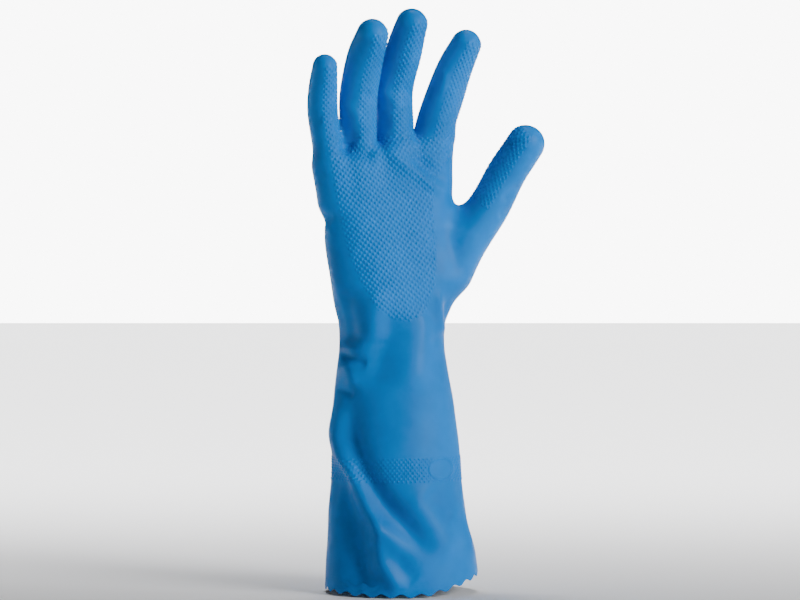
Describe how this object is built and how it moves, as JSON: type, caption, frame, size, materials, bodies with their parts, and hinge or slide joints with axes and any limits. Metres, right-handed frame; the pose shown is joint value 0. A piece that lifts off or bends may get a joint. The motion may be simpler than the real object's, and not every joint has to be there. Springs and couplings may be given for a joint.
{
  "type": "rubber glove",
  "caption": "Right-hand household rubber glove with long flared gauntlet cuff, raised grip on palm and fingers and a flock lining, hinged at wrist and finger knuckles.",
  "frame": {"origin": "centre of the cuff's opening, in the plane of its edge", "axes": "+Z from the cuff to the fingertips, -Y out of the palm side as the glove is seen, +X towards the thumb"},
  "size_m": [0.1342, 0.0731, 0.3282],
  "materials": {
    "latex": "semi-matt blue natural rubber, gripped palm and fingers",
    "flock_lining": "short cotton flock, pale blue"
  },
  "bodies": {
    "gauntlet": {"gauntlet_latex": "latex", "gauntlet_lining": "flock_lining", "wrist_crease": "latex"},
    "hand": {"hand_latex": "latex", "hand_lining": "flock_lining", "index_base_crease": "latex", "middle_base_crease": "latex", "ring_base_crease": "latex", "little_base_crease": "latex", "thumb_base_crease": "latex"},
    "index_base": {"index_base_latex": "latex", "index_base_lining": "flock_lining", "index_middle_crease": "latex"},
    "index_middle": {"index_middle_latex": "latex", "index_middle_lining": "flock_lining", "index_tip_crease": "latex"},
    "index_tip": {"index_tip_latex": "latex", "index_tip_lining": "flock_lining"},
    "middle_base": {"middle_base_latex": "latex", "middle_base_lining": "flock_lining", "middle_middle_crease": "latex"},
    "middle_middle": {"middle_middle_latex": "latex", "middle_middle_lining": "flock_lining", "middle_tip_crease": "latex"},
    "middle_tip": {"middle_tip_latex": "latex", "middle_tip_lining": "flock_lining"},
    "ring_base": {"ring_base_latex": "latex", "ring_base_lining": "flock_lining", "ring_middle_crease": "latex"},
    "ring_middle": {"ring_middle_latex": "latex", "ring_middle_lining": "flock_lining", "ring_tip_crease": "latex"},
    "ring_tip": {"ring_tip_latex": "latex", "ring_tip_lining": "flock_lining"},
    "little_base": {"little_base_latex": "latex", "little_base_lining": "flock_lining", "little_middle_crease": "latex"},
    "little_middle": {"little_middle_latex": "latex", "little_middle_lining": "flock_lining", "little_tip_crease": "latex"},
    "little_tip": {"little_tip_latex": "latex", "little_tip_lining": "flock_lining"},
    "thumb_base": {"thumb_base_latex": "latex", "thumb_base_lining": "flock_lining", "thumb_tip_crease": "latex"},
    "thumb_tip": {"thumb_tip_latex": "latex", "thumb_tip_lining": "flock_lining"}
  },
  "joints": [
    {"name": "wrist_flex", "type": "hinge", "parent": "gauntlet", "child": "hand", "pos_m": [-0.0048, 0.0005, 0.141], "axis": [0.9659, 0.2588, 0], "range_deg": [-30, 40], "stiffness_Nm_per_rad": 0.15, "deforming": ["wrist_crease"]},
    {"name": "index_base_flex", "type": "hinge", "parent": "hand", "child": "index_base", "pos_m": [0.0201, 0.00968, 0.2655], "axis": [0.9314, 0.339, -0.1325], "range_deg": [-20, 40], "stiffness_Nm_per_rad": 0.02, "deforming": ["index_base_crease"]},
    {"name": "index_middle_flex", "type": "hinge", "parent": "index_base", "child": "index_middle", "pos_m": [0.02604, 0.00886, 0.283], "axis": [0.9293, 0.3383, -0.148], "range_deg": [-15, 60], "stiffness_Nm_per_rad": 0.015, "deforming": ["index_middle_crease"]},
    {"name": "index_tip_flex", "type": "hinge", "parent": "index_middle", "child": "index_tip", "pos_m": [0.03301, 0.00522, 0.301], "axis": [0.9299, 0.3384, -0.1441], "range_deg": [-10, 40], "stiffness_Nm_per_rad": 0.01, "deforming": ["index_tip_crease"]},
    {"name": "middle_base_flex", "type": "hinge", "parent": "hand", "child": "middle_base", "pos_m": [-0.00292, 0.0013, 0.265], "axis": [0.9388, 0.3417, 0.0437], "range_deg": [-20, 40], "stiffness_Nm_per_rad": 0.02, "deforming": ["middle_base_crease"]},
    {"name": "middle_middle_flex", "type": "hinge", "parent": "middle_base", "child": "middle_middle", "pos_m": [-0.00301, -0.00224, 0.283], "axis": [0.9396, 0.342, 0.0133], "range_deg": [-15, 60], "stiffness_Nm_per_rad": 0.015, "deforming": ["middle_middle_crease"]},
    {"name": "middle_tip_flex", "type": "hinge", "parent": "middle_middle", "child": "middle_tip", "pos_m": [0.00212, -0.01283, 0.306], "axis": [0.9385, 0.3416, -0.0505], "range_deg": [-10, 40], "stiffness_Nm_per_rad": 0.01, "deforming": ["middle_tip_crease"]},
    {"name": "ring_base_flex", "type": "hinge", "parent": "hand", "child": "ring_base", "pos_m": [-0.02433, -0.00798, 0.2645], "axis": [0.9386, 0.3416, 0.0491], "range_deg": [-20, 40], "stiffness_Nm_per_rad": 0.02, "deforming": ["ring_base_crease"]},
    {"name": "ring_middle_flex", "type": "hinge", "parent": "ring_base", "child": "ring_middle", "pos_m": [-0.02386, -0.01249, 0.281], "axis": [0.9397, 0.342, 0.0056], "range_deg": [-15, 60], "stiffness_Nm_per_rad": 0.015, "deforming": ["ring_middle_crease"]},
    {"name": "ring_tip_flex", "type": "hinge", "parent": "ring_middle", "child": "ring_tip", "pos_m": [-0.0192, -0.02208, 0.302], "axis": [0.9391, 0.3418, -0.0354], "range_deg": [-10, 40], "stiffness_Nm_per_rad": 0.01, "deforming": ["ring_tip_crease"]},
    {"name": "little_base_flex", "type": "hinge", "parent": "hand", "child": "little_base", "pos_m": [-0.04113, -0.01388, 0.2535], "axis": [0.9339, 0.3399, 0.111], "range_deg": [-20, 40], "stiffness_Nm_per_rad": 0.02, "deforming": ["little_base_crease"]},
    {"name": "little_middle_flex", "type": "hinge", "parent": "little_base", "child": "little_middle", "pos_m": [-0.04337, -0.01736, 0.2695], "axis": [0.9368, 0.341, 0.0785], "range_deg": [-15, 60], "stiffness_Nm_per_rad": 0.015, "deforming": ["little_middle_crease"]},
    {"name": "little_tip_flex", "type": "hinge", "parent": "little_middle", "child": "little_tip", "pos_m": [-0.04291, -0.0239, 0.286], "axis": [0.9387, 0.3417, 0.0455], "range_deg": [-10, 40], "stiffness_Nm_per_rad": 0.01, "deforming": ["little_tip_crease"]},
    {"name": "thumb_base_flex", "type": "hinge", "parent": "hand", "child": "thumb_base", "pos_m": [0.05462, 0.01075, 0.225], "axis": [0.8439, -0.2665, -0.4656], "range_deg": [-20, 20], "stiffness_Nm_per_rad": 0.02, "deforming": ["thumb_base_crease"]},
    {"name": "thumb_tip_flex", "type": "hinge", "parent": "thumb_base", "child": "thumb_tip", "pos_m": [0.06289, 0.00791, 0.2405], "axis": [0.8087, -0.2554, -0.5298], "range_deg": [-15, 30], "stiffness_Nm_per_rad": 0.01, "deforming": ["thumb_tip_crease"]}
  ]
}
